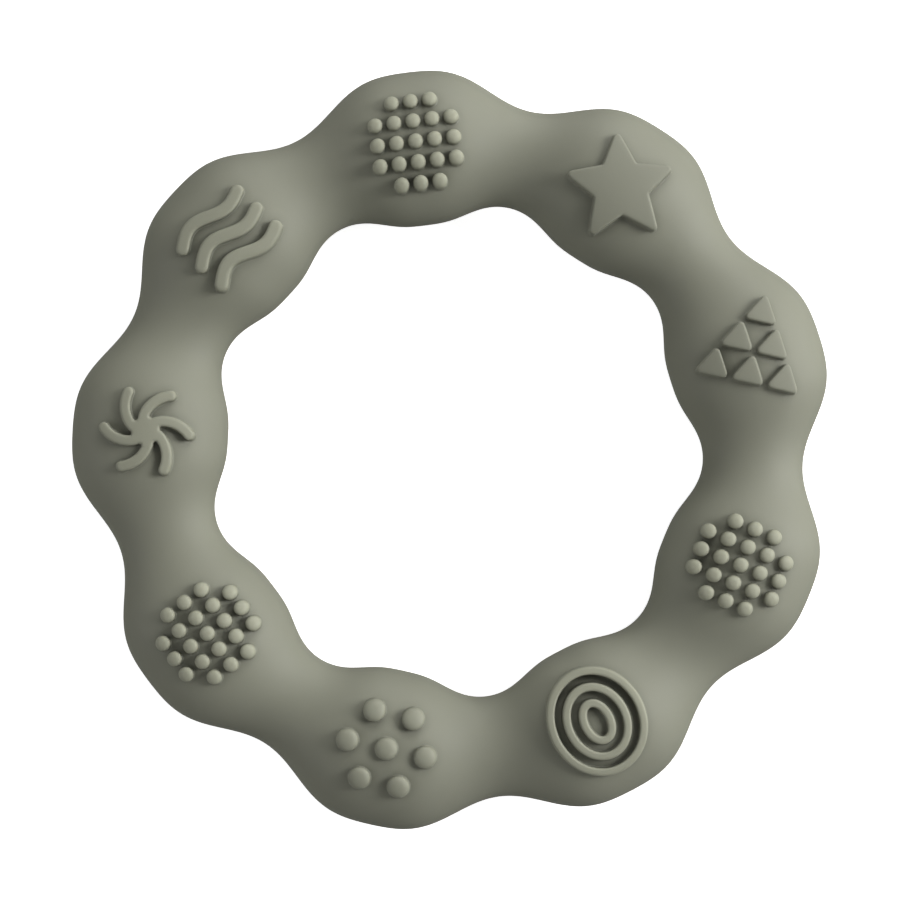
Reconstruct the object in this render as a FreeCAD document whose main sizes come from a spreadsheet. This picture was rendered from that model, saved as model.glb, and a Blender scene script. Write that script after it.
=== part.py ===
import FreeCAD, Part
import Sketcher
import math
import os

# A moulded silicone teething ring: nine rounded beads joined by slimmer necks, and on the front
# of every bead a raised pattern to chew and feel.
#
# Frame: +Z is the ring's axis and points out of the patterned front.  The origin is the middle
# of the hole, at the level of the table that the ring lies on.  The first bead (triangles) is
# at first_bead_angle from +X and the others follow anticlockwise, so the third one, with the
# upper small dots, is on +Y.  Millimetres and degrees.

V = FreeCAD.Vector
Z_AXIS = V(0, 0, 1)

DIMENSIONS = [
    # the ring: radii of its outer and inner outline at a bead, half way and at a neck
    ("bead_count", 9),
    ("first_bead_angle", 10),
    ("bead_outer_radius", 55.0),
    ("shoulder_outer_radius", 53.38),
    ("neck_outer_radius", 50.1),
    ("outer_fullness", -0.088),
    ("bead_inner_radius", 32.7),
    ("shoulder_inner_radius", 34.0),
    ("neck_inner_radius", 35.8),
    ("inner_fullness", 0.06),
    ("thickness_ratio", 0.8),
    # the raised patterns: the radius that they stand at (two of them stand a little further
    # outwards), how far they rise above a bead's middle, and the half axes of the ellipsoid that
    # crowns their tops about half as much as the bead
    ("pattern_radius", 43.3),
    ("pattern_base_level", 9.0),
    ("flat_rise", 1.0),
    ("dot_rise", 1.3),
    ("crown_depth", 20.0),
    ("crown_across", 21.0),
    ("crown_along", 32.0),
    # star
    ("star_tip_radius", 8.5),
    ("star_notch_radius", 4.0),
    ("star_tip_rounding", 0.55),
    # triangles
    ("triangle_pitch", 5.07),
    ("triangle_circumradius", 2.88),
    ("triangle_rounding", 0.5),
    ("triangle_outwards", 0.6),
    # waves
    ("wave_length", 11.2),
    ("wave_bulge", 0.95),
    ("wave_pitch", 3.73),
    ("wave_width", 1.78),
    ("wave_outwards", 0.45),
    # pinwheel
    ("pinwheel_arms", 6),
    ("pinwheel_hub_radius", 2.0),
    ("pinwheel_arm_width", 1.45),
    ("pinwheel_arm_radius", 4.45),
    ("pinwheel_arm_centre", 3.9),
    ("pinwheel_arm_start", 88),
    ("pinwheel_arm_sweep", 66),
    ("pinwheel_turn", 10),
    # ovals: half length and half width of the largest ridge's outer edge, and the step inwards
    ("oval_half_length", 7.8),
    ("oval_half_width", 6.86),
    ("oval_step", 2.25),
    ("oval_ridge", 1.06),
    # large dots and small dots
    ("large_dot_radius", 1.55),
    ("large_dot_spread", 5.58),
    ("small_dot_radius", 1.05),
    ("small_dot_pitch_across", 2.93),
    ("small_dot_pitch_along", 2.7),
]

SECTIONS_PER_BEAD = 12
STAR_POINTS = 5
TRIANGLE_ROWS = 3
WAVE_COUNT = 3
OVAL_COUNT = 3
LARGE_DOTS_AROUND = 6
SMALL_DOT_ROWS = 5

# Which bead, counted anticlockwise from the first, carries which pattern.
TRIANGLE_BEAD = 0
STAR_BEAD = 1
UPPER_DOTS_BEAD = 2
WAVE_BEAD = 3
PINWHEEL_BEAD = 4
LEFT_DOTS_BEAD = 5
LARGE_DOT_BEAD = 6
OVAL_BEAD = 7
RIGHT_DOTS_BEAD = 8

# Expressions over the sheet: the ring's mid level, and the length of an upright column that
# starts inside the ring and ends above every crowned top.
MID_LEVEL = "dims.thickness_ratio * (dims.bead_outer_radius - dims.bead_inner_radius) / 2"
COLUMN_LENGTH = "2 * %s + 2 * dims.dot_rise - dims.pattern_base_level" % MID_LEVEL

doc = FreeCAD.newDocument("teething_ring")
sheet = doc.addObject("Spreadsheet::Sheet", "dims")


def fill_sheet():
    """Put every driving dimension in its own named cell."""
    for row, (alias, value) in enumerate(DIMENSIONS, start=1):
        sheet.set("A%d" % row, alias)
        sheet.set("B%d" % row, str(value))
        sheet.setAlias("B%d" % row, alias)
    doc.recompute()


def cell(alias):
    """A dimension's value, as a number."""
    return float(sheet.get(alias))


def bind(thing, sizes):
    """Bind properties of an object to expressions over the sheet."""
    for name, expression in sizes.items():
        thing.setExpression(name, expression)
    return thing


def origin_feature(body, role):
    """One of a body's own origin planes or axes."""
    return [item for item in body.Origin.OriginFeatures if item.Role == role][0]


def body_sketch(body, name, role):
    """A sketch on one of the body's own origin planes."""
    sketch = body.newObject("Sketcher::SketchObject", name)
    sketch.AttachmentSupport = (origin_feature(body, role), "")
    sketch.MapMode = "FlatFace"
    return sketch


def limit(sketch, name, expression, *constraint):
    """Add a named constraint to a sketch and bind it to an expression."""
    number = sketch.addConstraint(Sketcher.Constraint(*constraint))
    sketch.renameConstraint(number, name)
    sketch.setExpression("Constraints." + name, expression)


# ---------------------------------------------------------------- the ring

def outline(side, phase):
    """Expression for the outer or inner outline's radius; phase is 0 at a bead, 180 at a neck."""
    bead = "dims.bead_%s_radius" % side
    shoulder = "dims.shoulder_%s_radius" % side
    neck = "dims.neck_%s_radius" % side
    mean = "((%s + %s) / 4 + %s / 2)" % (bead, neck, shoulder)
    swell = "(%s - %s) / 2 * cos(%g)" % (bead, neck, phase)
    soften = "((%s + %s) / 4 - %s / 2) * cos(%g)" % (bead, neck, shoulder, 2 * phase)
    fill = "dims.%s_fullness * (cos(%g) - cos(%g))" % (side, 3 * phase, phase)
    return "(%s + %s + %s + %s)" % (mean, swell, soften, fill)


def ring_section(body, index, phase):
    """An elliptical cross-section of the ring, on a half plane through the ring's axis."""
    sketch = body_sketch(body, "section_%02d" % index, "XZ_Plane")
    sketch.AttachmentOffset = FreeCAD.Placement(V(0, 0, 0), FreeCAD.Rotation(V(0, 1, 0), 1))
    bind(sketch, {"AttachmentOffset.Rotation.Angle": "%g / dims.bead_count" % phase})
    outer, inner = outline("outer", phase), outline("inner", phase)
    rough_radius, rough_level, rough_width, rough_height = 44.0, 9.0, 9.0, 7.0
    sketch.addGeometry(Part.Ellipse(V(rough_radius, rough_level, 0), rough_width, rough_height))
    sketch.exposeInternalGeometry(0)
    ellipse, long_axis, short_axis = 0, 1, 2
    centre_point, origin = 3, (-1, 1)
    sketch.addConstraint(Sketcher.Constraint("Horizontal", long_axis))
    limit(sketch, "section_width", "%s - %s" % (outer, inner),
          "Distance", long_axis, 2 * rough_width)
    limit(sketch, "section_height", "dims.thickness_ratio * (%s - %s)" % (outer, inner),
          "Distance", short_axis, 2 * rough_height)
    limit(sketch, "section_radius", "(%s + %s) / 2" % (outer, inner),
          "DistanceX", *origin, ellipse, centre_point, rough_radius)
    limit(sketch, "section_level", MID_LEVEL,
          "DistanceY", *origin, ellipse, centre_point, rough_level)
    return sketch


def make_ring():
    """One bead from neck to neck as a loft, repeated around the axis."""
    body = doc.addObject("PartDesign::Body", "ring_body")
    body.Label = "ring_body"
    sections = []
    for index in range(SECTIONS_PER_BEAD + 1):
        phase = -180 + 360 * index / SECTIONS_PER_BEAD
        sections.append(ring_section(body, index, phase))
    doc.recompute()
    bead = body.newObject("PartDesign::AdditiveLoft", "bead")
    bead.Profile = sections[0]
    bead.Sections = sections[1:]
    beads = body.newObject("PartDesign::PolarPattern", "beads")
    beads.Originals = [bead]
    beads.Axis = (origin_feature(body, "Z_Axis"), [""])
    beads.Angle = 360
    bind(beads, {"Occurrences": "dims.bead_count"})
    body.Tip = beads
    body.Placement = FreeCAD.Placement(V(0, 0, 0), FreeCAD.Rotation(Z_AXIS, 1))
    bind(body, {"Placement.Rotation.Angle": "dims.first_bead_angle"})
    doc.recompute()
    return body


# ---------------------------------------------------------------- the raised patterns

class Pad:
    """The front of one bead, and the pieces of the pattern on it.

    x is outwards and y is anticlockwise, in millimetres from the pattern's middle."""

    def __init__(self, name, bead_index, outwards=0):
        self.name = name
        self.radius = cell("pattern_radius") + outwards
        self.angle = cell("first_bead_angle") + 360 / cell("bead_count") * bead_index
        self.pieces = []

    def place(self, x, y, level, turn=0):
        """Placement of a piece whose own axis stands at x, y, turned about that axis."""
        spot = V(self.radius + x, y, level)
        local = FreeCAD.Placement(spot, FreeCAD.Rotation(Z_AXIS, turn))
        around = FreeCAD.Placement(V(0, 0, 0), FreeCAD.Rotation(Z_AXIS, self.angle))
        return around.multiply(local)

    def stand(self, kind, x, y, sizes, turn=0):
        """Add an object of the document that stands at x, y, with its sizes bound."""
        piece = doc.addObject(kind, self.name + "_part")
        piece.Placement = self.place(x, y, cell("pattern_base_level"), turn)
        return bind(piece, sizes)

    def column(self, x, y, radius):
        """An upright round column."""
        return self.stand("Part::Cylinder", x, y, {"Radius": radius, "Height": COLUMN_LENGTH})

    def arc_wall(self, x, y, start, sweep, radius, width):
        """An upright wall along an arc about x, y, from the angle start."""
        faces = []
        for sign in ("+", "-"):
            sizes = {"Radius": "%s %s %s / 2" % (radius, sign, width),
                     "Height": COLUMN_LENGTH, "Angle": str(sweep)}
            faces.append(self.stand("Part::Cylinder", x, y, sizes, start))
        wall = doc.addObject("Part::Cut", self.name + "_wall")
        wall.Base, wall.Tool = faces
        return wall

    def extrude(self, outline_object):
        """Raise a closed outline straight up."""
        solid = doc.addObject("Part::Extrusion", self.name + "_solid")
        solid.Base = outline_object
        solid.DirMode = "Custom"
        solid.Dir = Z_AXIS
        solid.Solid = True
        return bind(solid, {"LengthFwd": COLUMN_LENGTH})

    def fuse(self, shapes):
        """Join touching shapes into one piece of the pattern."""
        joined = doc.addObject("Part::MultiFuse", self.name + "_joined")
        joined.Shapes = shapes
        self.pieces.append(joined)

    def finish(self, ring, rise):
        """Crown the tops of all the pieces, and take away what is inside the ring."""
        pieces = self.pieces[0]
        if len(self.pieces) > 1:
            pieces = doc.addObject("Part::Compound", self.name + "_pieces")
            pieces.Links = self.pieces
        crown = doc.addObject("Part::Ellipsoid", self.name + "_crown")
        crown.Placement = self.place(0, 0, 0)
        level = "2 * %s + dims.%s - dims.crown_depth" % (MID_LEVEL, rise)
        bind(crown, {"Radius1": "dims.crown_depth", "Radius2": "dims.crown_across",
                     "Radius3": "dims.crown_along", "Placement.Base.z": level})
        crowned = doc.addObject("Part::Common", self.name + "_crowned")
        crowned.Base = pieces
        crowned.Tool = crown
        pattern = doc.addObject("Part::Cut", self.name)
        pattern.Base = crowned
        pattern.Tool = ring
        pattern.Label = self.name
        return pattern


def make_star(ring):
    """A five-pointed star with rounded tips; one tip points at the ring's axis."""
    pad = Pad("star_relief", STAR_BEAD)
    body = doc.addObject("PartDesign::Body", "star_body")
    sketch = body_sketch(body, "star_outline", "XY_Plane")
    corners = []
    for index in range(2 * STAR_POINTS):
        name = "star_notch_radius" if index % 2 else "star_tip_radius"
        corners.append((name, 180 + 180 / STAR_POINTS * index))
    points = [V(cell(name) * math.cos(math.radians(angle)),
                cell(name) * math.sin(math.radians(angle)), 0) for name, angle in corners]
    for index, point in enumerate(points):
        sketch.addGeometry(Part.LineSegment(point, points[(index + 1) % len(points)]))
    for index in range(len(points)):
        sketch.addConstraint(Sketcher.Constraint("Coincident", index, 2, (index + 1) % len(points), 1))
    for index, (name, angle) in enumerate(corners):
        limit(sketch, "across_%d" % index, "dims.%s * cos(%g)" % (name, angle),
              "DistanceX", -1, 1, index, 1, points[index].x)
        limit(sketch, "along_%d" % index, "dims.%s * sin(%g)" % (name, angle),
              "DistanceY", -1, 1, index, 1, points[index].y)
    raised = body.newObject("PartDesign::Pad", "star_raised")
    raised.Profile = sketch
    bind(raised, {"Length": COLUMN_LENGTH})
    doc.recompute()
    tips = []
    for number, edge in enumerate(raised.Shape.Edges, start=1):
        foot, head = edge.Vertexes[0].Point, edge.Vertexes[-1].Point
        upright = abs(foot.z - head.z) > 1
        if upright and math.hypot(foot.x, foot.y) > cell("star_notch_radius") + 1:
            tips.append("Edge%d" % number)
    rounded = body.newObject("PartDesign::Fillet", "star_tips")
    rounded.Base = (raised, tips)
    bind(rounded, {"Radius": "dims.star_tip_rounding"})
    body.Tip = rounded
    body.Placement = pad.place(0, 0, cell("pattern_base_level"))
    pad.pieces.append(body)
    return pad.finish(ring, "flat_rise")


def make_triangles(ring):
    """A triangle of small triangles; its single one and all their tips point at the axis."""
    pad = Pad("triangle_relief", TRIANGLE_BEAD, cell("triangle_outwards"))
    pitch = cell("triangle_pitch")
    row_pitch = pitch * math.cos(math.radians(30))
    for row in range(TRIANGLE_ROWS):
        x = row_pitch * (row - (TRIANGLE_ROWS - 1) * 2 / 3)
        for place in range(row + 1):
            y = pitch * (place - row / 2)
            prism = pad.stand("Part::Prism", x, y, {"Circumradius": "dims.triangle_circumradius",
                                                    "Height": COLUMN_LENGTH}, 180)
            prism.Polygon = 3
            doc.recompute()
            upright = [number for number, edge in enumerate(prism.Shape.Edges, start=1)
                       if abs(edge.Vertexes[0].Z - edge.Vertexes[-1].Z) > 1]
            rounded = doc.addObject("Part::Fillet", pad.name + "_rounded")
            rounded.Base = prism
            rounding = cell("triangle_rounding")
            rounded.Edges = [(number, rounding, rounding) for number in upright]
            pad.pieces.append(rounded)
    return pad.finish(ring, "flat_rise")


def make_waves(ring):
    """Wavy bars side by side; each is two arcs that bend opposite ways, with round ends."""
    pad = Pad("wave_relief", WAVE_BEAD, cell("wave_outwards"))
    quarter, bulge = cell("wave_length") / 4, cell("wave_bulge")
    arc_radius = (quarter ** 2 + bulge ** 2) / (2 * bulge)
    half_sweep = math.degrees(math.asin(quarter / arc_radius))
    radius = "((dims.wave_length / 4) ^ 2 + dims.wave_bulge ^ 2) / (2 * dims.wave_bulge)"
    for bar in range(WAVE_COUNT):
        x = cell("wave_pitch") * (bar - (WAVE_COUNT - 1) / 2)
        shapes = []
        for side in (1, -1):
            centre_x = x - side * (arc_radius - bulge)
            start = (0 if side == 1 else 180) - half_sweep
            shapes.append(pad.arc_wall(centre_x, side * quarter, start, 2 * half_sweep,
                                       radius, "dims.wave_width"))
            shapes.append(pad.column(x, side * 2 * quarter, "dims.wave_width / 2"))
        pad.fuse(shapes)
    return pad.finish(ring, "flat_rise")


def make_pinwheel(ring):
    """Curved arms that leave a round hub and bend clockwise, with round ends."""
    pad = Pad("pinwheel_relief", PINWHEEL_BEAD)
    arms = int(cell("pinwheel_arms"))
    radius, reach = cell("pinwheel_arm_radius"), cell("pinwheel_arm_centre")
    shapes = [pad.column(0, 0, "dims.pinwheel_hub_radius")]
    for arm in range(arms):
        turn = cell("pinwheel_turn") + 360 / arms * arm
        x = reach * math.cos(math.radians(turn))
        y = reach * math.sin(math.radians(turn))
        start = turn + cell("pinwheel_arm_start")
        shapes.append(pad.arc_wall(x, y, start, "dims.pinwheel_arm_sweep",
                                   "dims.pinwheel_arm_radius", "dims.pinwheel_arm_width"))
        end_x = x + radius * math.cos(math.radians(start))
        end_y = y + radius * math.sin(math.radians(start))
        shapes.append(pad.column(end_x, end_y, "dims.pinwheel_arm_width / 2"))
    pad.fuse(shapes)
    return pad.finish(ring, "flat_rise")


def make_ovals(ring):
    """Oval ridges one inside another, long across the bead."""
    pad = Pad("oval_ring_relief", OVAL_BEAD)
    for index in range(OVAL_COUNT):
        walls = []
        for inset in ("%d * dims.oval_step" % index,
                      "%d * dims.oval_step + dims.oval_ridge" % index):
            edge = pad.stand("Part::Ellipse", 0, 0,
                             {"MajorRadius": "dims.oval_half_length - (%s)" % inset,
                              "MinorRadius": "dims.oval_half_width - (%s)" % inset})
            walls.append(pad.extrude(edge))
        ridge = doc.addObject("Part::Cut", pad.name + "_ridge")
        ridge.Base, ridge.Tool = walls
        pad.pieces.append(ridge)
    return pad.finish(ring, "flat_rise")


def make_large_dots(ring):
    """Round buttons: one in the middle and a circle of them around it."""
    pad = Pad("large_dot_relief", LARGE_DOT_BEAD)
    pad.pieces.append(pad.column(0, 0, "dims.large_dot_radius"))
    step = 360 / LARGE_DOTS_AROUND
    for index in range(LARGE_DOTS_AROUND):
        angle = math.radians(step / 2 + step * index)
        spread = cell("large_dot_spread")
        pad.pieces.append(pad.column(spread * math.cos(angle), spread * math.sin(angle),
                                     "dims.large_dot_radius"))
    return pad.finish(ring, "dot_rise")


def make_small_dots(ring, name, bead_index):
    """A square of pins without its four corners."""
    pad = Pad(name, bead_index)
    middle = SMALL_DOT_ROWS // 2
    for row in range(-middle, middle + 1):
        for place in range(-middle, middle + 1):
            if abs(row) == middle and abs(place) == middle:
                continue
            pad.pieces.append(pad.column(row * cell("small_dot_pitch_across"),
                                         place * cell("small_dot_pitch_along"),
                                         "dims.small_dot_radius"))
    return pad.finish(ring, "dot_rise")


def write_parts(parts):
    """Recompute, check every object, and write one STEP file for each sub-part."""
    doc.recompute()
    for item in doc.Objects:
        if "Invalid" in item.State or "Error" in item.State:
            raise RuntimeError("%s did not recompute: %s" % (item.Name, item.State))
    for part in parts:
        if part.Shape.isNull() or not part.Shape.isValid() or not part.Shape.Solids:
            raise RuntimeError("%s has no valid solid" % part.Label)
    os.makedirs("parts", exist_ok=True)
    for part in parts:
        part.Shape.exportStep("parts/%s.step" % part.Label)
        print("%-20s %3d solids %10.1f mm3" % (part.Label, len(part.Shape.Solids),
                                               part.Shape.Volume))


fill_sheet()
ring_body = make_ring()
write_parts([
    ring_body,
    make_triangles(ring_body),
    make_star(ring_body),
    make_small_dots(ring_body, "small_dot_relief_upper", UPPER_DOTS_BEAD),
    make_waves(ring_body),
    make_pinwheel(ring_body),
    make_small_dots(ring_body, "small_dot_relief_left", LEFT_DOTS_BEAD),
    make_large_dots(ring_body),
    make_ovals(ring_body),
    make_small_dots(ring_body, "small_dot_relief_right", RIGHT_DOTS_BEAD),
])
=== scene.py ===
"""A moulded silicone teething ring: rounded beads joined by necks, a raised pattern on every bead.

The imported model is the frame: every mesh here replaces one of its nodes, in the same place and at
the same size, with the smooth surface, rounded edges and matte skin of the real moulding.
Lengths are in millimetres inside the classes and become metres where a mesh is made.
"""

import logging
import math
from abc import ABC, abstractmethod
from dataclasses import dataclass, field
from enum import Enum
from typing import Any, Callable

import bpy
import numpy as np
from mathutils import Matrix, Vector
from mathutils.geometry import delaunay_2d_cdt


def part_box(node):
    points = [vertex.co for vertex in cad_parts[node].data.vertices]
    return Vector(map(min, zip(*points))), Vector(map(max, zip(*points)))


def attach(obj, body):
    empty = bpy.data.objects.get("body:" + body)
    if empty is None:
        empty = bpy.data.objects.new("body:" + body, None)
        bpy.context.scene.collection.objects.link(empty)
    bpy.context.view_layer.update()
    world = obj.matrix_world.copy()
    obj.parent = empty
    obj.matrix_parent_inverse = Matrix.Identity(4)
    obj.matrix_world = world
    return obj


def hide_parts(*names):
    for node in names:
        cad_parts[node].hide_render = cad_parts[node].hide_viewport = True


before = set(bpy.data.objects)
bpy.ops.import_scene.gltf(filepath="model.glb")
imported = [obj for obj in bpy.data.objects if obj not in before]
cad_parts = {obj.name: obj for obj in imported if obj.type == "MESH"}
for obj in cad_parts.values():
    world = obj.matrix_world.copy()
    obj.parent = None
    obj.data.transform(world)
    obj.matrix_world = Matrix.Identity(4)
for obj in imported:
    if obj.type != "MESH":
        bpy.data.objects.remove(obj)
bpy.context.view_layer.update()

LOG = logging.getLogger("teething_ring")
MM = 0.001
# Vertex share of the painted highlight: how far raised tops take on a paler colour for the light
# they catch.
PAINTED_HIGHLIGHT = "painted_highlight"
# Triangles of the tops below this area, in mm2, have no clear normal and are left out.
SLIVER_AREA = 2e-4
Points2D = list[tuple[float, float]]


# ------------------------------------------------------------------ shapes

@dataclass(frozen=True)
class Outline:
    """One side of the ring seen from above, as radii at a bead, half way and at a neck.

    Its fullness squares the shoulders of the beads a little.
    """

    bead: float
    shoulder: float
    neck: float
    fullness: float

    def radius(self, phase: np.ndarray) -> np.ndarray:
        """Radius where the phase is 0 at a bead and pi at a neck.

        Args:
            phase: angle about the ring's axis from a bead's middle, times the number of beads.

        Returns:
            The outline's radius in millimetres.
        """
        mean = (self.bead + self.neck) / 4 + self.shoulder / 2
        soften = (self.bead + self.neck) / 4 - self.shoulder / 2
        swell = (self.bead - self.neck) / 2
        fill = self.fullness * (np.cos(3 * phase) - np.cos(phase))
        return mean + swell * np.cos(phase) + soften * np.cos(2 * phase) + fill


@dataclass(frozen=True)
class RingShape:
    """The ring without its patterns: elliptical sections between two wavy outlines."""

    beads: int = 9
    first_bead_deg: float = 10.0
    thickness_ratio: float = 0.8
    outer: Outline = Outline(55.0, 53.38, 50.1, -0.088)
    inner: Outline = Outline(32.7, 34.0, 35.8, 0.06)

    @property
    def mid_level(self) -> float:
        """Height of the ring's middle plane above what it lies on."""
        return self.thickness_ratio * (self.outer.bead - self.inner.bead) / 2

    def bead_angle(self, index: int) -> float:
        """Angle of a bead's middle about the ring's axis, in radians."""
        return math.radians(self.first_bead_deg + 360 / self.beads * index)

    def section(self, angle: np.ndarray) -> tuple[np.ndarray, np.ndarray]:
        """Measure the section at an angle about the axis.

        Args:
            angle: angle about the ring's axis, in radians.

        Returns:
            The section's middle radius and its half width.
        """
        phase = self.beads * (angle - self.bead_angle(0))
        outer, inner = self.outer.radius(phase), self.inner.radius(phase)
        return (outer + inner) / 2, (outer - inner) / 2

    def front_level(self, x: np.ndarray, y: np.ndarray) -> np.ndarray:
        """Height of the ring's front surface over points of the frame's XY plane.

        Args:
            x: the frame's x of the points.
            y: the frame's y of the points.

        Returns:
            The surface's height above what the ring lies on.
        """
        middle, half = self.section(np.arctan2(y, x))
        across = np.clip((np.hypot(x, y) - middle) / half, -1, 1)
        return self.mid_level + self.thickness_ratio * half * np.sqrt(1 - across ** 2)


@dataclass(frozen=True)
class EdgeStyle:
    """How a raised pattern's edges are finished by the mould, in millimetres.

    The painted highlight is a share from 0 to 1: how far the pattern takes on a paler colour,
    painted highlight for the light that its raised, curved tops catch.
    """

    rise: float
    cap_width: float
    cap_drop: float
    painted_highlight: float
    foot_round: float = 0.14
    draft: float = 0.05
    soften: float = 0.16


@dataclass(frozen=True)
class Crown:
    """The ellipsoid that crowns the tops of a pattern, by its half axes in millimetres."""

    depth: float = 20.0
    across: float = 21.0
    along: float = 32.0

    def drop(self, x: np.ndarray, y: np.ndarray) -> np.ndarray:
        """How far a top is below the pattern's middle at x outwards, y anticlockwise."""
        inside = 1 - (x / self.across) ** 2 - (y / self.along) ** 2
        return self.depth * (1 - np.sqrt(inside))


def circle_distance(x: np.ndarray, y: np.ndarray, radius: float) -> np.ndarray:
    """Signed distance from a circle about the origin, negative inside."""
    return np.hypot(x, y) - radius


def step_distance(x: np.ndarray, y: np.ndarray, start: tuple[float, float],
                  end: tuple[float, float]) -> np.ndarray:
    """Distance of points from one straight step.

    Args:
        x: outward coordinates of the points.
        y: anticlockwise coordinates of the points.
        start: where the step starts.
        end: where it ends.

    Returns:
        The distance of every point, never negative.
    """
    (ax, ay), (bx, by) = start, end
    ex, ey = bx - ax, by - ay
    along = np.clip(((x - ax) * ex + (y - ay) * ey) / (ex * ex + ey * ey), 0, 1)
    return np.hypot(x - ax - along * ex, y - ay - along * ey)


def polygon_distance(x: np.ndarray, y: np.ndarray, corners: Points2D) -> np.ndarray:
    """Signed distance from a closed polygon, negative inside.

    Args:
        x: outward coordinates of the points.
        y: anticlockwise coordinates of the points.
        corners: the polygon's corners in order.

    Returns:
        The distance of every point.
    """
    nearest = np.full(x.shape, np.inf)
    inside = np.zeros(x.shape, bool)
    for (ax, ay), (bx, by) in zip(corners, corners[1:] + corners[:1]):
        nearest = np.minimum(nearest, step_distance(x, y, (ax, ay), (bx, by)))
        spans = (ay > y) != (by > y)
        # A level side spans nothing, so any small rise does for it.
        crossing = ax + (y - ay) * (bx - ax) / ((by - ay) or 1e-12)
        inside ^= spans & (x < crossing)
    return np.where(inside, -nearest, nearest)


def path_distance(x: np.ndarray, y: np.ndarray, path: Points2D) -> np.ndarray:
    """Distance of points from an open path of short straight steps.

    Args:
        x: outward coordinates of the points.
        y: anticlockwise coordinates of the points.
        path: the ends of the steps in order.

    Returns:
        The distance of every point, never negative.
    """
    nearest = np.full(x.shape, np.inf)
    for start, end in zip(path, path[1:]):
        nearest = np.minimum(nearest, step_distance(x, y, start, end))
    return nearest


# ------------------------------------------------------------------ patterns

class Pattern(ABC):
    """The outline of a raised pattern: x outwards, y anticlockwise from its middle, in mm."""

    @abstractmethod
    def distance(self, x: np.ndarray, y: np.ndarray) -> np.ndarray:
        """Signed distance of points from the pattern's outline, negative inside.

        Args:
            x: outward coordinates of the points.
            y: anticlockwise coordinates of the points.

        Returns:
            The distance of every point.
        """


@dataclass(frozen=True)
class Star(Pattern):
    """A star with one tip towards the ring's axis."""

    tip_radius: float = 8.5
    notch_radius: float = 4.0
    rounding: float = 0.55
    points: int = 5

    def distance(self, x: np.ndarray, y: np.ndarray) -> np.ndarray:
        """See Pattern.distance."""
        step = math.pi / self.points
        half_tip = math.atan2(self.notch_radius * math.sin(step),
                              self.tip_radius - self.notch_radius * math.cos(step))
        tip = self.tip_radius - self.rounding / math.sin(half_tip)
        notch = self.notch_radius - self.rounding / math.sin(half_tip + step)
        corners = []
        for index in range(2 * self.points):
            radius = notch if index % 2 else tip
            angle = math.pi + step * index
            corners.append((radius * math.cos(angle), radius * math.sin(angle)))
        return polygon_distance(x, y, corners) - self.rounding


@dataclass(frozen=True)
class TrianglePile(Pattern):
    """Rows of one, two and three triangles, all with a tip towards the ring's axis."""

    rows: int = 3
    pitch: float = 5.07
    circumradius: float = 2.88
    rounding: float = 0.5

    def distance(self, x: np.ndarray, y: np.ndarray) -> np.ndarray:
        """See Pattern.distance."""
        sharp = self.circumradius - 2 * self.rounding
        turns = [math.pi + math.tau / 3 * side for side in range(3)]
        nearest = np.full(x.shape, np.inf)
        for row in range(self.rows):
            cx = self.pitch * math.cos(math.pi / 6) * (row - (self.rows - 1) * 2 / 3)
            for place in range(row + 1):
                cy = self.pitch * (place - row / 2)
                corners = [(cx + sharp * math.cos(a), cy + sharp * math.sin(a)) for a in turns]
                nearest = np.minimum(nearest, polygon_distance(x, y, corners))
        return nearest - self.rounding


@dataclass(frozen=True)
class Waves(Pattern):
    """Wavy bars side by side, each one whole wave long and bowed outwards, with round ends."""

    bars: int = 3
    length: float = 11.2
    bulge: float = 0.95
    bow: float = 0.5
    pitch: float = 3.73
    width: float = 1.84
    steps: int = 40

    def distance(self, x: np.ndarray, y: np.ndarray) -> np.ndarray:
        """See Pattern.distance."""
        nearest = np.full(x.shape, np.inf)
        for bar in range(self.bars):
            middle = self.pitch * (bar - (self.bars - 1) / 2)
            path = []
            for step in range(self.steps + 1):
                part = step / self.steps - 0.5
                wave = self.bulge * math.sin(math.tau * part)
                swing = wave + self.bow * math.cos(math.pi * part)
                path.append((middle + swing, self.length * part))
            nearest = np.minimum(nearest, path_distance(x, y, path))
        return nearest - self.width / 2


@dataclass(frozen=True)
class Pinwheel(Pattern):
    """Arms that leave a round hub and bend clockwise along arcs, with round ends."""

    arms: int = 6
    hub_radius: float = 2.0
    arm_width: float = 1.45
    arm_radius: float = 4.45
    centre_radius: float = 3.9
    start_deg: float = 88.0
    sweep_deg: float = 66.0
    turn_deg: float = 10.0
    steps: int = 24

    def distance(self, x: np.ndarray, y: np.ndarray) -> np.ndarray:
        """See Pattern.distance."""
        nearest = circle_distance(x, y, self.hub_radius)
        for arm in range(self.arms):
            turn = math.radians(self.turn_deg + 360 / self.arms * arm)
            cx, cy = self.centre_radius * math.cos(turn), self.centre_radius * math.sin(turn)
            path = []
            for step in range(self.steps + 1):
                angle = turn + math.radians(self.start_deg + self.sweep_deg * step / self.steps)
                path.append((cx + self.arm_radius * math.cos(angle),
                             cy + self.arm_radius * math.sin(angle)))
            nearest = np.minimum(nearest, path_distance(x, y, path) - self.arm_width / 2)
        return nearest


@dataclass(frozen=True)
class Ovals(Pattern):
    """Oval ridges one inside another, long across the bead."""

    rings: int = 3
    half_length: float = 7.8
    half_width: float = 6.86
    step: float = 2.25
    ridge: float = 1.12

    def distance(self, x: np.ndarray, y: np.ndarray) -> np.ndarray:
        """See Pattern.distance."""
        nearest = np.full(x.shape, np.inf)
        for index in range(self.rings):
            inset = self.step * index + self.ridge / 2
            long, short = self.half_length - inset, self.half_width - inset
            scaled = np.hypot(x / long, y / short)
            slope = np.hypot(x / long ** 2, y / short ** 2)
            from_middle_line = np.abs(scaled * (scaled - 1) / np.maximum(slope, 1e-6))
            nearest = np.minimum(nearest, from_middle_line - self.ridge / 2)
        return nearest


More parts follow.
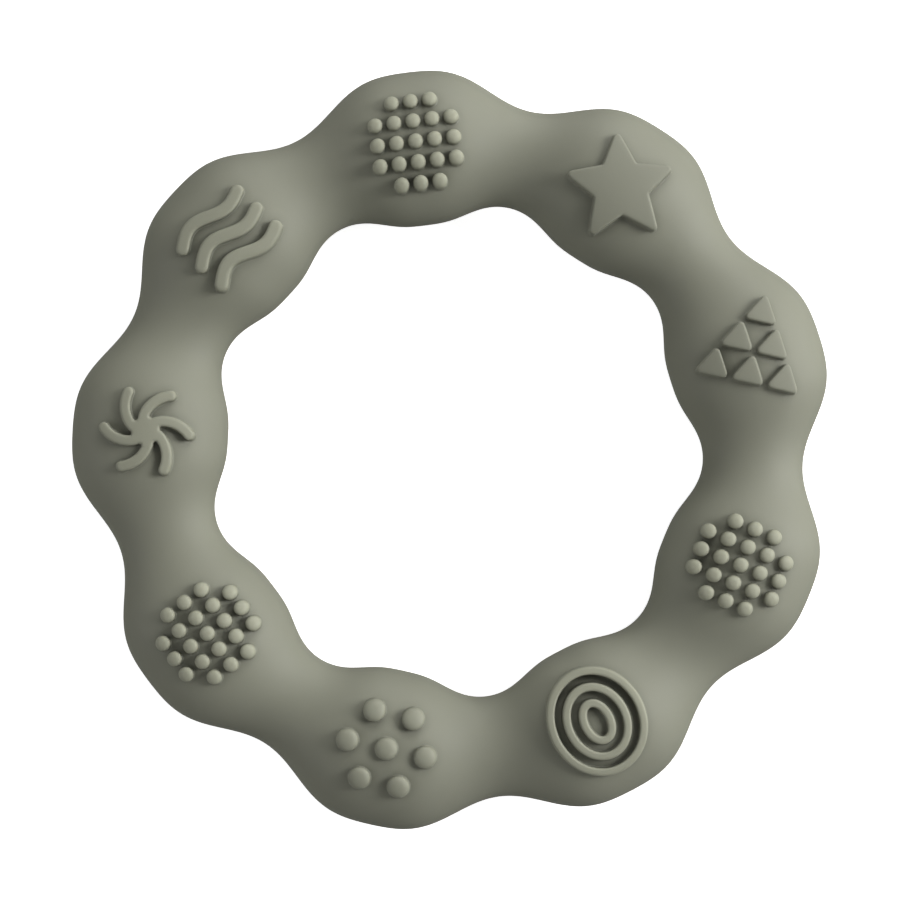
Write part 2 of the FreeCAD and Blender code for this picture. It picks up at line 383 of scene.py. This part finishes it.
@dataclass(frozen=True)
class LargeDots(Pattern):
    """Round buttons: one in the middle and a circle of them around it."""

    radius: float = 1.55
    spread: float = 5.58
    around: int = 6

    def distance(self, x: np.ndarray, y: np.ndarray) -> np.ndarray:
        """See Pattern.distance."""
        nearest = circle_distance(x, y, self.radius)
        for index in range(self.around):
            angle = math.tau / self.around * (index + 0.5)
            cx, cy = self.spread * math.cos(angle), self.spread * math.sin(angle)
            nearest = np.minimum(nearest, circle_distance(x - cx, y - cy, self.radius))
        return nearest


@dataclass(frozen=True)
class SmallDots(Pattern):
    """A square of pins without its four corners."""

    rows: int = 5
    radius: float = 1.05
    pitch_across: float = 2.93
    pitch_along: float = 2.7

    def distance(self, x: np.ndarray, y: np.ndarray) -> np.ndarray:
        """See Pattern.distance."""
        nearest = np.full(x.shape, np.inf)
        middle = self.rows // 2
        for row in range(-middle, middle + 1):
            for place in range(-middle, middle + 1):
                if abs(row) == middle and abs(place) == middle:
                    continue
                away = circle_distance(x - row * self.pitch_across,
                                       y - place * self.pitch_along, self.radius)
                nearest = np.minimum(nearest, away)
        return nearest


# ------------------------------------------------------------------ materials

def linear(hex_colour: str) -> tuple[float, float, float, float]:
    """Turn an sRGB hex colour into Blender's linear RGBA.

    Args:
        hex_colour: a colour such as "#f4f4f2".

    Returns:
        The linear red, green and blue, and an alpha of 1.
    """
    channels = [int(hex_colour[i:i + 2], 16) / 255 for i in (1, 3, 5)]
    out = [c / 12.92 if c <= 0.04045 else ((c + 0.055) / 1.055) ** 2.4 for c in channels]
    return (out[0], out[1], out[2], 1.0)


def add_node(tree: Any, kind: str, settings: dict[str | int, Any] | None = None,
             links: dict[str | int, Any] | None = None) -> Any:
    """Add one shader node with its settings and links.

    Args:
        tree: the material's node tree.
        kind: the node's type name.
        settings: properties of the node by name, or values of its inputs by name or number.
        links: output sockets to connect, by the input's name or number.

    Returns:
        The new node.
    """
    node = tree.nodes.new(kind)
    for name, value in (settings or {}).items():
        if isinstance(name, str) and hasattr(node, name):
            setattr(node, name, value)
        else:
            node.inputs[name].default_value = value
    for name, source in (links or {}).items():
        tree.links.new(source, node.inputs[name])
    return node


@dataclass(frozen=True)
class MouldedSilicone:
    """Food-grade silicone rubber, compression moulded in a bead-blasted steel mould.

    The blasted steel leaves a satin skin with no sharp gloss; the rubber lets a little light in
    below its surface, and its pigment is mixed in with very faint clouds. Two settings are for
    the eye and aren't measured: painted_highlight_colour is a painted highlight, the paler colour
    that ridges and pins take on for the light their curved tops catch, and crevice_shade_tone is
    painted shade, the share of the colour that is left deep in the gaps between them.
    """

    name: str = "moulded_silicone_sage"
    colour: str = "#828375"
    cloud_colour: str = "#898a7b"
    roughness: float = 0.6
    index: float = 1.41
    scatter_share: float = 0.12
    scatter_reach_mm: float = 0.9
    # Real blast grain is finer; it is drawn this coarse so that it shows.
    blast_grain_mm: float = 0.22
    grain_strength: float = 0.25
    grain_depth_mm: float = 0.02
    cloud_size_mm: float = 14.0
    roughness_swing: float = 0.05
    # Painted highlight: the paler colour that raised tops take on for the light they catch.
    painted_highlight_colour: str = "#a2a390"
    # Painted shade: an occlusion node darkens the colour deep in the gaps between the patterns and
    # at their feet, down to the tone below.
    crevice_shade_reach_mm: float = 1.6
    crevice_shade_tone: float = 0.56
    deepest_shade_openness: float = 0.25
    crevice_shade_samples: int = 8

    def make(self) -> bpy.types.Material:
        """Build the material.

        Returns:
            The finished material.
        """
        material = bpy.data.materials.new(self.name)
        material.use_nodes = True
        tree = material.node_tree
        tree.nodes.clear()
        place = add_node(tree, "ShaderNodeTexCoord").outputs["Object"]
        clouds = add_node(tree, "ShaderNodeTexNoise",
                          {"Scale": 1 / (self.cloud_size_mm * MM), "Detail": 3.0,
                           "Roughness": 0.5}, {"Vector": place})
        tint = add_node(tree, "ShaderNodeMix",
                        {"data_type": "RGBA", 6: linear(self.colour),
                         7: linear(self.cloud_colour)},
                        {0: clouds.outputs["Fac"]})
        # Painted highlight: tops and walls of the patterns are mixed towards a paler colour by the
        # share stored on their vertices.
        highlight_share = add_node(tree, "ShaderNodeAttribute", {"attribute_name": PAINTED_HIGHLIGHT})
        highlighted = add_node(tree, "ShaderNodeMix",
                         {"data_type": "RGBA", 7: linear(self.painted_highlight_colour)},
                         {0: highlight_share.outputs["Fac"], 6: tint.outputs[2]})
        # Painted shade: the colour is darkened where the occlusion node finds the surface hemmed
        # in, deep in gaps and at the patterns' feet.
        openness = add_node(tree, "ShaderNodeAmbientOcclusion",
                              {"samples": self.crevice_shade_samples,
                               "Distance": self.crevice_shade_reach_mm * MM})
        crevice_shade = add_node(tree, "ShaderNodeMapRange",
                           {"From Min": self.deepest_shade_openness,
                            "To Min": self.crevice_shade_tone, "To Max": 1.0},
                           {"Value": openness.outputs["AO"]})
        shaded = add_node(tree, "ShaderNodeVectorMath", {"operation": "SCALE"},
                          {0: highlighted.outputs[2], "Scale": crevice_shade.outputs["Result"]})
        grain = add_node(tree, "ShaderNodeTexNoise",
                         {"Scale": 1 / (self.blast_grain_mm * MM), "Detail": 2.0,
                          "Roughness": 0.6}, {"Vector": place})
        satin = add_node(tree, "ShaderNodeMapRange",
                         {"To Min": self.roughness - self.roughness_swing,
                          "To Max": self.roughness + self.roughness_swing},
                         {"Value": clouds.outputs["Fac"]})
        skin = add_node(tree, "ShaderNodeBump",
                        {"Strength": self.grain_strength, "Distance": self.grain_depth_mm * MM},
                        {"Height": grain.outputs["Fac"]})
        shader = add_node(tree, "ShaderNodeBsdfPrincipled",
                          {"IOR": self.index, "Subsurface Weight": self.scatter_share,
                           "Subsurface Radius": (1.0, 0.9, 0.7),
                           "Subsurface Scale": self.scatter_reach_mm * MM},
                          {"Base Color": shaded.outputs["Vector"],
                           "Roughness": satin.outputs["Result"],
                           "Normal": skin.outputs["Normal"]})
        add_node(tree, "ShaderNodeOutputMaterial", {}, {"Surface": shader.outputs["BSDF"]})
        return material


# ------------------------------------------------------------------ meshes

def mesh_object(name: str, points: np.ndarray, faces: list[tuple[int, ...]],
                material: bpy.types.Material, painted_highlight: np.ndarray | None = None
                ) -> bpy.types.Object:
    """Make a smooth-shaded object in the frame.

    Args:
        name: the object's name.
        points: its vertices in millimetres, one row each.
        faces: vertex numbers of its faces, anticlockwise from outside.
        material: its finish.
        painted_highlight: how far every vertex takes on the paler colour of the painted highlight,
            0 where it has none.

    Returns:
        The object, linked into the scene.
    """
    mesh = bpy.data.meshes.new(name)
    mesh.from_pydata([tuple(p) for p in points * MM], [], faces)
    # Painted highlight share of every vertex, read by the silicone's material.
    highlight_share = mesh.attributes.new(PAINTED_HIGHLIGHT, "FLOAT", "POINT")
    highlight_share.data.foreach_set("value", np.zeros(len(points)) if painted_highlight is None else painted_highlight)
    mesh.validate()
    mesh.shade_smooth()
    mesh.materials.append(material)
    piece = bpy.data.objects.new(name, mesh)
    bpy.context.scene.collection.objects.link(piece)
    return piece


def adopt(piece: bpy.types.Object, node: str) -> None:
    """Let a piece stand for a node of the frame and take its place on the body.

    Args:
        piece: the piece.
        node: the name of the node that it replaces.
    """
    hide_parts(node)
    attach(piece, "root")
    LOG.info("%s: %d faces for node %s", piece.name, len(piece.data.polygons), node)


@dataclass
class RingBody:
    """The ring's own surface, with the faint parting line that its two mould halves leave."""

    shape: RingShape
    steps_per_bead: int = 72
    steps_round_section: int = 112
    parting_height: float = 0.05
    parting_width: float = 0.22
    crowding: float = 0.42
    node: str = "ring_body"

    def section_angles(self) -> np.ndarray:
        """Angles round a section, closer together at the parting line on its two sides."""
        even = np.linspace(0, math.tau, self.steps_round_section, endpoint=False)
        return even - self.crowding * np.sin(2 * even)

    def build(self, material: bpy.types.Material) -> bpy.types.Object:
        """Make the ring.

        Args:
            material: the silicone.

        Returns:
            The ring's object.
        """
        around_count = self.shape.beads * self.steps_per_bead
        around = np.linspace(0, math.tau, around_count, endpoint=False)[:, None]
        turn = self.section_angles()[None, :]
        middle, half = self.shape.section(around)
        height = half * self.shape.thickness_ratio * np.sin(turn)
        flash = self.parting_height * np.exp(-(height / self.parting_width) ** 2)
        radius = middle + (half + flash) * np.cos(turn)
        points = np.stack([radius * np.cos(around), radius * np.sin(around),
                           height + self.shape.mid_level], axis=-1)
        rows, columns = points.shape[:2]
        faces = []
        for row in range(rows):
            after = (row + 1) % rows
            for column in range(columns):
                beside = (column + 1) % columns
                faces.append((row * columns + column, after * columns + column,
                              after * columns + beside, row * columns + beside))
        piece = mesh_object("ring_surface", points.reshape(-1, 3), faces, material)
        adopt(piece, self.node)
        return piece


@dataclass
class DistanceGrid:
    """A pattern's distance field on a grid, softened so that no corner stays knife-sharp."""

    pattern: Pattern
    soften: float
    reach: float = 10.4
    pitch: float = 0.08
    flow_step: float = 0.04
    least_steepness: float = 0.1
    least_loop_points: int = 24
    axis: np.ndarray = field(init=False)
    field_values: np.ndarray = field(init=False)
    slopes: list[np.ndarray] = field(init=False)

    def __post_init__(self) -> None:
        """Sample the pattern and blur the field by the softening length."""
        count = int(2 * self.reach / self.pitch) + 1
        self.axis = np.linspace(-self.reach, self.reach, count)
        x, y = np.meshgrid(self.axis, self.axis, indexing="ij")
        values = self.pattern.distance(x, y)
        spread = int(3 * self.soften / self.pitch) + 1
        offsets = np.arange(-spread, spread + 1) * self.pitch
        kernel = np.exp(-0.5 * (offsets / self.soften) ** 2)
        kernel /= kernel.sum()
        for axis in (0, 1):
            values = np.apply_along_axis(self.blur_line, axis, values, kernel)
        self.field_values = values
        self.slopes = np.gradient(values, self.axis, self.axis)

    @staticmethod
    def blur_line(line: np.ndarray, kernel: np.ndarray) -> np.ndarray:
        """Blur one line of the grid, holding its end values."""
        pad = len(kernel) // 2
        return np.convolve(np.pad(line, pad, mode="edge"), kernel, mode="valid")

    def sample(self, values: np.ndarray, points: np.ndarray) -> np.ndarray:
        """Read a grid of values at points by bilinear interpolation.

        Args:
            values: one value for each crossing of the grid.
            points: the places to read, one row each.

        Returns:
            The value at every point.
        """
        place = (points + self.reach) / (self.axis[1] - self.axis[0])
        low = np.clip(np.floor(place).astype(int), 0, len(self.axis) - 2)
        part = place - low
        i, j = low[:, 0], low[:, 1]
        u, v = part[:, 0], part[:, 1]
        return ((values[i, j] * (1 - u) + values[i + 1, j] * u) * (1 - v)
                + (values[i, j + 1] * (1 - u) + values[i + 1, j + 1] * u) * v)

    def flow(self, points: np.ndarray, start: float, level: float) -> np.ndarray:
        """Move points along the field's slope, in short steps, from one level to another.

        Args:
            points: places near the starting level, one row each.
            start: the signed distance where they are now.
            level: the signed distance to reach.

        Returns:
            The moved points.
        """
        moved = points.copy()
        steps = max(2, math.ceil(abs(level - start) / self.flow_step))
        for goal in np.linspace(start, level, steps + 1)[1:]:
            value = self.sample(self.field_values, moved)
            slope = np.stack([self.sample(s, moved) for s in self.slopes], axis=-1)
            steepness = np.maximum((slope ** 2).sum(axis=1), self.least_steepness)
            furthest = 2 * self.flow_step
            move = np.clip((goal - value) / steepness, -furthest, furthest)
            moved += move[:, None] * slope
        return moved

    def loops(self, spacing: float) -> list[np.ndarray]:
        """Closed outlines of the pattern, as evenly spaced points.

        Args:
            spacing: about how far apart the points are, in millimetres.

        Returns:
            One array of points for each outline, with the pattern on the left.
        """
        inside = self.field_values < 0
        links: dict[tuple, tuple] = {}
        cells = np.argwhere((inside[:-1, :-1] != inside[1:, :-1])
                            | (inside[:-1, :-1] != inside[:-1, 1:])
                            | (inside[1:, 1:] != inside[1:, :-1])
                            | (inside[1:, 1:] != inside[:-1, 1:]))
        for i, j in cells:
            ring = [(i, j), (i + 1, j), (i + 1, j + 1), (i, j + 1)]
            starts, ends = [], []
            for here, there in zip(ring, ring[1:] + ring[:1]):
                edge = (min(here, there), max(here, there))
                if inside[here] and not inside[there]:
                    starts.append(edge)
                elif inside[there] and not inside[here]:
                    ends.append(edge)
            for start, end in zip(starts, ends if len(ends) == 1 else ends[::-1]):
                links[start] = end
        loops = []
        while links:
            first, here = next(iter(links.items()))
            chain = [first]
            del links[first]
            while here != first and here in links:
                chain.append(here)
                here = links.pop(here)
            loops.append(self.even_loop(chain, spacing))
        return loops

    def even_loop(self, chain: list[tuple], spacing: float) -> np.ndarray:
        """Turn a chain of cut grid edges into evenly spaced points on the outline.

        Args:
            chain: the cut edges in order, each as its two grid crossings.
            spacing: about how far apart the points are, in millimetres.

        Returns:
            The points, one row each.
        """
        points = []
        for a, b in chain:
            va, vb = self.field_values[a], self.field_values[b]
            part = va / (va - vb)
            points.append([self.axis[a[k]] * (1 - part) + self.axis[b[k]] * part for k in (0, 1)])
        closed = np.array(points + points[:1])
        travelled = np.concatenate([[0], np.cumsum(np.hypot(*np.diff(closed, axis=0).T))])
        count = max(self.least_loop_points, int(travelled[-1] / spacing))
        marks = np.linspace(0, travelled[-1], count, endpoint=False)
        even = np.stack([np.interp(marks, travelled, closed[:, k]) for k in (0, 1)], axis=-1)
        return self.flow(even, 0.0, 0.0)


@dataclass
class Relief:
    """A raised pattern on the front of one bead: foot, walls, rounded edges and crowned top."""

    name: str
    node: str
    bead: int
    pattern: Pattern
    style: EdgeStyle
    shape: RingShape
    outwards: float
    pattern_radius: float = 43.3
    crown: Crown = Crown()
    spacing: float = 0.16
    sink: float = 0.12
    foot_overlap: float = 0.1
    # Share of the painted highlight on the middle of the walls.
    wall_highlight_share: float = 0.4
    top_spacing: float = 0.45
    rim_clearance: float = 0.6

    def to_frame(self, local: np.ndarray) -> tuple[np.ndarray, np.ndarray]:
        """Turn the pattern's own x and y into the frame's x and y, in millimetres.

        Args:
            local: points of the pattern, one row each.

        Returns:
            The frame's x and its y of every point.
        """
        turn = self.shape.bead_angle(self.bead)
        out, along = self.pattern_radius + self.outwards + local[:, 0], local[:, 1]
        return (out * math.cos(turn) - along * math.sin(turn),
                out * math.sin(turn) + along * math.cos(turn))

    def base_level(self, local: np.ndarray) -> np.ndarray:
        """Height of the ring's surface below points of the pattern."""
        return self.shape.front_level(*self.to_frame(local))

    def top_level(self, local: np.ndarray) -> np.ndarray:
        """Height of the pattern's crowned top, without its rounded edge."""
        crest = 2 * self.shape.mid_level + self.style.rise
        return crest - self.crown.drop(local[:, 0], local[:, 1])

    def profile(self) -> list[tuple[float, float, Callable]]:
        """The wall's section from its foot to the top.

        Returns:
            For each row its distance outside the outline, its share of the top's painted highlight,
            and a function of the surface's and the top's heights that gives the height there.
        """
        style = self.style
        rows: list[tuple[float, float, Callable]] = [
            (style.draft + style.foot_round + self.foot_overlap, 0.0,
             lambda base, top: base - self.sink)]
        for turn in np.radians([0, 30, 60, 90]):
            out = style.draft + style.foot_round * (1 - math.sin(turn))
            lift = style.foot_round * (1 - math.cos(turn))
            rows.append((out, 0.0, lambda base, top, lift=lift: base + lift))
        rows.append((style.draft / 2, self.wall_highlight_share, lambda base, top:
                     (base + style.foot_round + top - style.cap_drop) / 2))
        for turn in np.radians([0, 12, 24, 36, 48, 60, 75, 90]):
            out = -style.cap_width * (1 - math.cos(turn))
            fall = style.cap_drop * (1 - math.sin(turn))
            rows.append((out, 1.0, lambda base, top, fall=fall: top - fall))
        return rows

    def top_faces(self, grid: DistanceGrid, rims: list[np.ndarray]
                  ) -> tuple[np.ndarray, list[tuple[int, ...]]]:
        """Fill the top inside the rounded edges with small even triangles.

        Args:
            grid: the pattern's distance grid.
            rims: the innermost loop of every outline.

        Returns:
            The points, the loops' own first, and the triangles.
        """
        step = self.top_spacing
        count = int(grid.reach / step)
        marks = np.arange(-count, count + 1) * step
        x, y = np.meshgrid(marks, marks, indexing="ij")
        inner = np.stack([x.ravel(), y.ravel()], axis=-1)
        deepest_rim = -self.style.cap_width - self.rim_clearance * step
        inner = inner[grid.sample(grid.field_values, inner) < deepest_rim]
        edges, offset = [], 0
        for rim in rims:
            numbers = np.arange(len(rim))
            edges += [(offset + a, offset + (a + 1) % len(rim)) for a in numbers]
            offset += len(rim)
        points = np.concatenate(rims + [inner])
        found = delaunay_2d_cdt([Vector(p) for p in points], edges, [], 0, 1e-7)
        vertices = np.array([tuple(p) for p in found[0]])
        if len(vertices) != len(points):
            raise ValueError("%s: the top's points changed" % self.name)
        corners = vertices[np.array(found[2])]
        middles = corners.mean(axis=1)
        sides = corners[:, 1:] - corners[:, :1]
        area = np.abs(sides[:, 0, 0] * sides[:, 1, 1] - sides[:, 0, 1] * sides[:, 1, 0]) / 2
        inside = np.zeros(len(middles), bool)
        for rim in rims:
            inside ^= polygon_distance(middles[:, 0], middles[:, 1], rim.tolist()) < 0
        kept = inside & (area > SLIVER_AREA)
        return vertices, [tuple(face) for face, keep in zip(found[2], kept) if keep]

    def build(self, material: bpy.types.Material) -> bpy.types.Object:
        """Make the pattern's mesh.

        Args:
            material: the silicone.

        Returns:
            The pattern's object.
        """
        grid = DistanceGrid(self.pattern, self.style.soften)
        loops = grid.loops(self.spacing)
        rows = self.profile()
        points, highlight_share, faces, rims, rim_starts, total = [], [], [], [], [], 0
        for loop in loops:
            size = len(loop)
            inwards = loop
            for number, (out, share, height) in enumerate(rows):
                if out >= 0:
                    local = grid.flow(loop, 0.0, out)
                else:
                    local = inwards = grid.flow(inwards, min(0.0, rows[number - 1][0]), out)
                level = height(self.base_level(local), self.top_level(local))
                points.append(np.stack([*self.to_frame(local), level], axis=-1))
                # Painted highlight: each row takes its share of the style's paler tone.
                highlight_share.append(np.full(size, share * self.style.painted_highlight))
                if number:
                    start = total + (number - 1) * size
                    for a in range(size):
                        b = (a + 1) % size
                        faces.append((start + a, start + b, start + size + b, start + size + a))
            rim_starts.append(total + (len(rows) - 1) * size)
            rims.append(local)
            total += len(rows) * size
        vertices, triangles = self.top_faces(grid, rims)
        numbers = []
        for rim, start in zip(rims, rim_starts):
            numbers += range(start, start + len(rim))
        extra = vertices[len(numbers):]
        numbers += range(total, total + len(extra))
        points.append(np.stack([*self.to_frame(extra), self.top_level(extra)], axis=-1))
        highlight_share.append(np.full(len(extra), self.style.painted_highlight))
        faces += [tuple(numbers[v] for v in face) for face in triangles]
        piece = mesh_object(self.name, np.concatenate(points), faces, material,
                            np.concatenate(highlight_share))
        adopt(piece, self.node)
        return piece


# ------------------------------------------------------------------ studio

@dataclass(frozen=True)
class Softbox:
    """A round softbox: where it hangs, seen from the ring, how wide it is and its power."""

    name: str
    azimuth_deg: float
    elevation_deg: float
    watts: float
    width: float
    distance: float = 0.9


class Rig(Enum):
    """The softboxes round the ring."""

    KEY = Softbox("key_softbox", 4, 36, 5.6, 0.4)
    RIM = Softbox("rim_softbox", 0, 8, 2.5, 0.4)
    SIDE = Softbox("side_softbox", 50, 26, 2.4, 0.5)
    LOW = Softbox("low_softbox", 75, 12, 2.6, 0.6)
    FRONT = Softbox("front_softbox", 315, 14, 0.9, 0.6)
    BACK = Softbox("back_softbox", 180, 20, 1.6, 0.6)
    CORNER = Softbox("corner_softbox", 225, 32, 0.5, 0.6)


@dataclass
class Studio:
    """A pale table, soft lights and a camera above the ring."""

    centre: Vector
    camera_distance: float = 0.331
    lens_mm: float = 91.96
    roll_deg: float = -7.3
    tilt_deg: float = 2.9
    shift: tuple[float, float] = (-0.0051, -0.0013)
    table_glow: float = 0.84
    table_gap: float = 0.0002
    wall_radius: float = 1.4
    wall_height: float = 1.6
    wall_steps: int = 96
    room_strength: float = 0.18
    sensor_mm: float = 36.0
    clip: tuple[float, float] = (0.01, 10.0)

    def floor(self) -> None:
        """Lay a white table under the ring, and stand a round white wall far behind it."""
        half = self.wall_radius
        corners = [(-half, -half, 0), (half, -half, 0), (half, half, 0), (-half, half, 0)]
        table = self.stage_piece("table", corners, [(0, 1, 2, 3)], self.table_glow)
        table.location.z = -self.table_gap
        points, faces, count = [], [], self.wall_steps
        for step in range(count):
            angle = math.tau * step / count
            x, y = half * math.cos(angle), half * math.sin(angle)
            points += [(x, y, -self.table_gap), (x, y, self.wall_height)]
            after = (step + 1) % count
            faces.append((2 * step, 2 * step + 1, 2 * after + 1, 2 * after))
        wall = self.stage_piece("studio_wall", points, faces, 1.0)
        wall.visible_shadow = False

    def stage_piece(self, name: str, points: list[tuple[float, ...]],
                    faces: list[tuple[int, ...]], glow: float) -> bpy.types.Object:
        """Make a part of the set, which the silicone doesn't mirror.

        Args:
            name: the object's name.
            points: its vertices in metres.
            faces: its faces.
            glow: how much light its white paint seems to give off, so that it stays white.

        Returns:
            The object.
        """
        mesh = bpy.data.meshes.new(name)
        mesh.from_pydata(points, [], faces)
        piece = bpy.data.objects.new(name, mesh)
        bpy.context.scene.collection.objects.link(piece)
        material = bpy.data.materials.new("matt_white_" + name)
        material.use_nodes = True
        tree = material.node_tree
        tree.nodes.clear()
        shader = add_node(tree, "ShaderNodeBsdfPrincipled",
                          {"Base Color": linear("#f4f4f2"), "Roughness": 0.9,
                           "Emission Color": linear("#ffffff"), "Emission Strength": glow})
        add_node(tree, "ShaderNodeOutputMaterial", {}, {"Surface": shader.outputs["BSDF"]})
        mesh.materials.append(material)
        piece.visible_diffuse = False
        piece.visible_glossy = False
        return piece

    def lights(self) -> None:
        """Hang the softboxes."""
        for box in (lamp.value for lamp in Rig):
            data = bpy.data.lights.new(box.name, "AREA")
            data.shape = "DISK"
            data.size = box.width
            data.energy = box.watts
            light = bpy.data.objects.new(box.name, data)
            bpy.context.scene.collection.objects.link(light)
            a, e = math.radians(box.azimuth_deg), math.radians(box.elevation_deg)
            toward = Vector((math.cos(a) * math.cos(e), math.sin(a) * math.cos(e), math.sin(e)))
            light.location = self.centre + toward * box.distance
            light.rotation_euler = toward.to_track_quat("Z", "Y").to_euler()

    def world(self) -> None:
        """Give the room a dim even light."""
        world = bpy.data.worlds.new("room")
        world.use_nodes = True
        sky = world.node_tree.nodes["Background"]
        sky.inputs["Color"].default_value = linear("#ffffff")
        sky.inputs["Strength"].default_value = self.room_strength
        bpy.context.scene.world = world

    def camera(self) -> None:
        """Hang the camera almost straight above the ring."""
        data = bpy.data.cameras.new("camera")
        data.sensor_width = self.sensor_mm
        data.lens = self.lens_mm
        data.shift_x, data.shift_y = self.shift
        camera = bpy.data.objects.new("camera", data)
        bpy.context.scene.collection.objects.link(camera)
        roll, tilt = math.radians(self.roll_deg), math.radians(self.tilt_deg)
        up = Vector((-math.sin(roll), math.cos(roll), 0))
        back = Vector((0, 0, 1)) * math.cos(tilt) - up * math.sin(tilt)
        right = up.cross(back).normalized()
        true_up = back.cross(right)
        turn = np.array([right, true_up, back]).T
        camera.matrix_world = (Matrix.Translation(self.centre + back * self.camera_distance)
                               @ Matrix(turn.tolist()).to_4x4())
        data.clip_start, data.clip_end = self.clip
        bpy.context.scene.camera = camera


# ------------------------------------------------------------------ the whole ring

# Each style's last number is its painted highlight: how much paler its tops are drawn for the light
# they catch.
FLAT = EdgeStyle(rise=1.0, cap_width=0.34, cap_drop=0.26, painted_highlight=0.0)
BAR = EdgeStyle(rise=1.0, cap_width=0.5, cap_drop=0.32, painted_highlight=0.4, soften=0.08)
ARM = EdgeStyle(rise=1.0, cap_width=0.42, cap_drop=0.3, painted_highlight=0.4, soften=0.12)
RIDGE = EdgeStyle(rise=1.0, cap_width=0.36, cap_drop=0.3, painted_highlight=0.55, soften=0.05)
BUTTON = EdgeStyle(rise=1.3, cap_width=1.3, cap_drop=0.72, painted_highlight=0.25, soften=0.05)
PIN = EdgeStyle(rise=1.3, cap_width=0.85, cap_drop=0.66, painted_highlight=0.8, soften=0.05)


def main() -> None:
    """Build the ring, its patterns and the studio."""
    logging.basicConfig(level=logging.INFO, format="%(name)s: %(message)s")
    shape = RingShape()
    silicone = MouldedSilicone().make()
    RingBody(shape).build(silicone)
    reliefs = [
        ("triangle_pile", "triangle_relief", 0, TrianglePile(), FLAT, 0.6),
        ("star", "star_relief", 1, Star(), FLAT, 0.0),
        ("upper_pins", "small_dot_relief_upper", 2, SmallDots(), PIN, 0.0),
        ("waves", "wave_relief", 3, Waves(), BAR, -0.1),
        ("pinwheel", "pinwheel_relief", 4, Pinwheel(), ARM, 0.0),
        ("left_pins", "small_dot_relief_left", 5, SmallDots(), PIN, 0.0),
        ("buttons", "large_dot_relief", 6, LargeDots(), BUTTON, 0.0),
        ("oval_ridges", "oval_ring_relief", 7, Ovals(), RIDGE, 0.0),
        ("right_pins", "small_dot_relief_right", 8, SmallDots(), PIN, 0.0),
    ]
    for name, node, bead, pattern, style, outwards in reliefs:
        Relief(name, node, bead, pattern, style, shape, outwards).build(silicone)
    low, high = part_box("ring_body")
    centre = Vector((0, 0, (low[2] + high[2]) / 2))
    studio = Studio(centre)
    studio.floor()
    studio.lights()
    studio.world()
    studio.camera()
    bpy.context.scene.view_settings.view_transform = "Standard"


if __name__ == "__main__":
    main()
